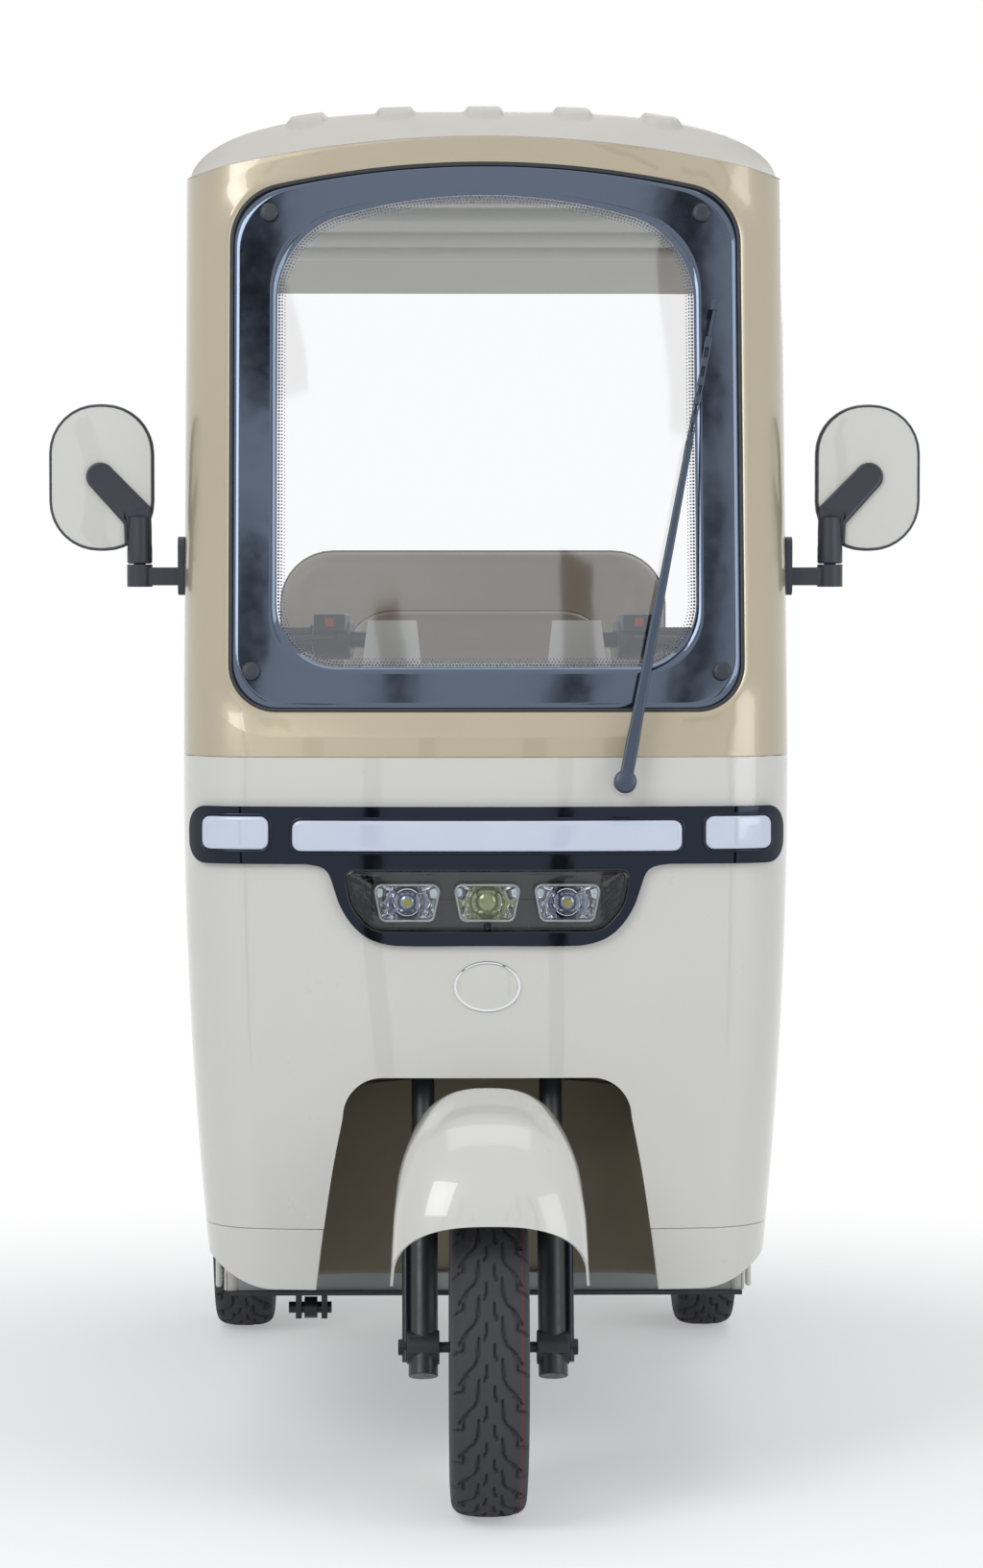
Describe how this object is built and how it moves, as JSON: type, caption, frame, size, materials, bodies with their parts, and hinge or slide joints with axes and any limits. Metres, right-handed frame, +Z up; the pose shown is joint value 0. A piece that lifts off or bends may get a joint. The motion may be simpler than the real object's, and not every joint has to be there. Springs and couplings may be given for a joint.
{
  "type": "electric tricycle",
  "caption": "Passenger electric tricycle with a full front fairing and windscreen, ribbed roof, open sides, steered front wheel, handlebar, driver's seat and rear bench.",
  "frame": {"origin": "on the ground under the middle of the vehicle", "axes": "+Z up, -Y forward, +X to the vehicle's left"},
  "size_m": [1.166, 2.0399, 1.8564],
  "materials": {
    "fairing_white": "glossy moulded cream white",
    "surround_beige": "satin champagne",
    "roof_white": "glossy off-white",
    "liner_taupe": "matt moulded taupe",
    "gloss_black": "glossy black",
    "black_metal": "satin black paint",
    "black_plastic": "grained black",
    "lens_clear": "clear lamp lens",
    "lens_red": "red lamp lens",
    "windscreen_glass": "clear with a black printed border",
    "leatherette": "soft taupe leatherette",
    "floor_grey": "light grey powder coat",
    "spring_steel": "bare steel",
    "rim_silver": "silver paint",
    "tyre_rubber": "matt black rubber",
    "mirror_cream": "glossy cream back and black rim",
    "battery_block": "plain block"
  },
  "bodies": {
    "chassis": {"frame": "black_metal", "floor_pan": "floor_grey", "front_fairing": "fairing_white", "front_skirts": "fairing_white", "arch_liner": "liner_taupe", "screen_surround": "surround_beige", "windscreen": "windscreen_glass", "screen_caps": "black_plastic", "lamp_panel": "gloss_black", "position_lamps": "lens_clear", "headlamps": "lens_clear", "inner_dash": "surround_beige", "roof": "roof_white", "roof_frame": "black_metal", "rear_tub": "fairing_white", "bench_cushion": "leatherette", "bench_backrest": "leatherette", "seat_box": "fairing_white", "battery": "battery_block", "driver_cushion": "leatherette", "driver_backrest": "leatherette", "rear_axle": "black_metal", "rear_springs": "spring_steel", "tail_lamps": "lens_red", "rear_bumper": "black_plastic", "side_sills": "fairing_white", "brake_pedal": "black_metal", "mirror_mounts": "black_plastic", "wiper_spindle": "spring_steel"},
    "wiper": {"wiper_arm": "black_metal", "wiper_blade": "black_plastic"},
    "left_mirror": {"mirror_left": "mirror_cream"},
    "right_mirror": {"mirror_right": "mirror_cream"},
    "steering": {"fork_yokes": "black_metal", "fork_legs": "black_metal", "mudguard": "fairing_white", "handlebar": "black_metal", "hand_controls": "black_plastic", "handlebar_cowl": "fairing_white"},
    "front_wheel": {"front_tyre": "tyre_rubber", "front_rim": "rim_silver"},
    "rear_wheel_left": {"rear_tyre_left": "tyre_rubber", "rear_rim_left": "rim_silver"},
    "rear_wheel_right": {"rear_tyre_right": "tyre_rubber", "rear_rim_right": "rim_silver"}
  },
  "joints": [
    {"name": "steer", "type": "hinge", "parent": "chassis", "child": "steering", "pos_m": [0, -0.77333, 0.20501], "axis": [0, 0.3746, 0.9272], "range_deg": [-35, 35]},
    {"name": "front_wheel_spin", "type": "hinge", "parent": "steering", "child": "front_wheel", "pos_m": [0, -0.803, 0.217], "axis": [1, 0, 0], "continuous": true},
    {"name": "rear_wheel_left_spin", "type": "hinge", "parent": "chassis", "child": "rear_wheel_left", "pos_m": [0.368, 0.687, 0.217], "axis": [1, 0, 0], "continuous": true},
    {"name": "rear_wheel_right_spin", "type": "hinge", "parent": "chassis", "child": "rear_wheel_right", "pos_m": [-0.368, 0.687, 0.217], "axis": [1, 0, 0], "continuous": true},
    {"name": "wiper_sweep", "type": "hinge", "parent": "chassis", "child": "wiper", "pos_m": [0.179, -0.71477, 0.941], "axis": [0, -0.9848, 0.1736], "range_deg": [0, 55]},
    {"name": "mirror_left_turn", "type": "hinge", "parent": "chassis", "child": "left_mirror", "pos_m": [0.462, -0.545, 1.216], "axis": [0, 0, 1], "range_deg": [-40, 40]},
    {"name": "mirror_right_turn", "type": "hinge", "parent": "chassis", "child": "right_mirror", "pos_m": [-0.462, -0.545, 1.216], "axis": [0, 0, 1], "range_deg": [-40, 40]}
  ]
}
